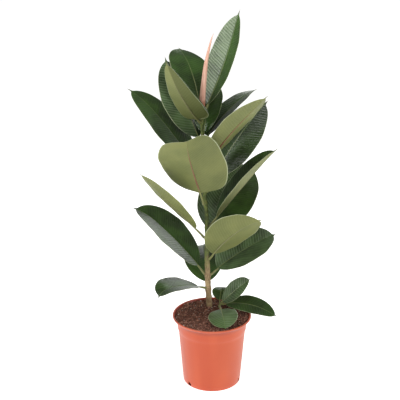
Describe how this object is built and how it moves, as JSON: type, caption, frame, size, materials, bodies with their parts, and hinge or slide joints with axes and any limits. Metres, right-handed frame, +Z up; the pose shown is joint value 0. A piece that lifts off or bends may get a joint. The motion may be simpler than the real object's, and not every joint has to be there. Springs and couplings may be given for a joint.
{
  "type": "potted rubber plant",
  "caption": "Rubber plant on one upright stem with large glossy leaves, growing with a small side shoot in a tapered round plastic nursery pot.",
  "frame": {"origin": "centre of the pot's flat underside, where it rests on the floor", "axes": "+Z up along the stem, +X to the plant's right and -Y to its front, as the plant is shown"},
  "size_m": [0.4031, 0.3923, 0.9826],
  "materials": {
    "pot_plastic": "satin terracotta colour, paler on the rounded lip",
    "soil": "moist dark crumbs with white perlite",
    "bark": "tan brown young bark that turns green towards the tip",
    "sheath": "smooth salmon pink, darker at the foot",
    "green_stem": "smooth pale green",
    "leaf": "dark glossy green above, pale matt olive below, paler midrib and veins"
  },
  "bodies": {
    "root": {"pot": "pot_plastic", "potting_soil": "soil", "main_stem": "bark", "bud_sheath": "sheath", "side_shoot": "green_stem", "leaf_01": "leaf", "leaf_02": "leaf", "leaf_03": "leaf", "leaf_04": "leaf", "leaf_05": "leaf", "leaf_06": "leaf", "leaf_07": "leaf", "leaf_08": "leaf", "leaf_09": "leaf", "leaf_10": "leaf", "leaf_11": "leaf", "leaf_12": "leaf", "leaf_13": "leaf", "leaf_14": "leaf", "leaf_15": "leaf", "leaf_16": "leaf", "leaf_17": "leaf", "leaf_18": "leaf", "shoot_leaf_01": "leaf", "shoot_leaf_02": "leaf", "shoot_leaf_03": "leaf", "shoot_leaf_04": "leaf"}
  },
  "joints": []
}
